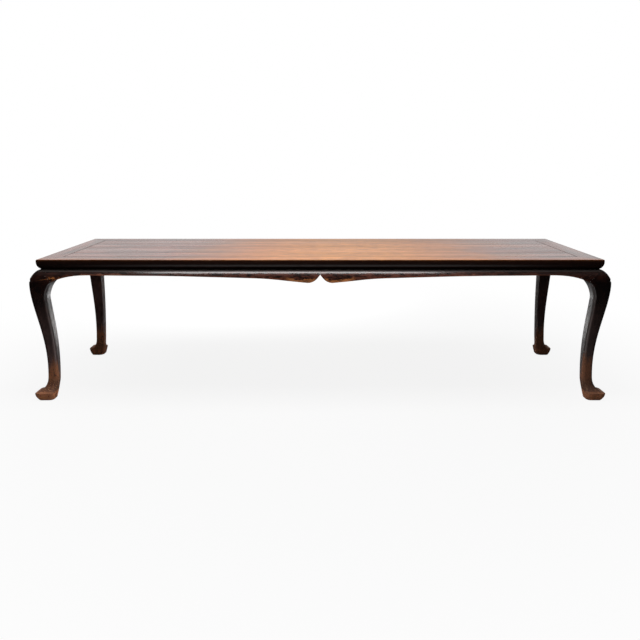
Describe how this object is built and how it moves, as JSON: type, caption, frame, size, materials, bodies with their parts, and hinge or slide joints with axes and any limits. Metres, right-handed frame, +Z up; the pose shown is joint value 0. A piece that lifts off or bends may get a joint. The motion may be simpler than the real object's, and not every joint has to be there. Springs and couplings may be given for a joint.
{
  "type": "dining table",
  "caption": "Long waisted table with a framed floating-panel top, bulging aprons with a cusped lower edge and S-curved legs on out-turned feet, in worn dark lacquer.",
  "frame": {"origin": "on the floor under the middle of the top", "axes": "+X along the length, +Y from the front to the back, +Z up"},
  "size_m": [3.13, 0.915, 0.764],
  "materials": {
    "panel_lacquer": "worn satin lacquer",
    "frame_lacquer": "worn satin lacquer",
    "body_lacquer": "worn gloss lacquer",
    "leg_lacquer": "worn gloss lacquer",
    "inner_wood": "raw"
  },
  "bodies": {
    "root": {"top_frame_front": "frame_lacquer", "waist_front": "body_lacquer", "apron_front": "body_lacquer", "top_frame_back": "frame_lacquer", "waist_back": "body_lacquer", "apron_back": "body_lacquer", "top_frame_left": "frame_lacquer", "waist_left": "body_lacquer", "apron_left": "body_lacquer", "top_frame_right": "frame_lacquer", "waist_right": "body_lacquer", "apron_right": "body_lacquer", "panel_board_1": "panel_lacquer", "panel_board_2": "panel_lacquer", "panel_board_3": "panel_lacquer", "panel_board_4": "panel_lacquer", "panel_brace_1": "inner_wood", "panel_brace_2": "inner_wood", "panel_brace_3": "inner_wood", "panel_brace_4": "inner_wood", "panel_brace_5": "inner_wood", "leg_front_left": "leg_lacquer", "leg_front_right": "leg_lacquer", "leg_back_left": "leg_lacquer", "leg_back_right": "leg_lacquer", "frame_pegs": "inner_wood"}
  },
  "joints": []
}
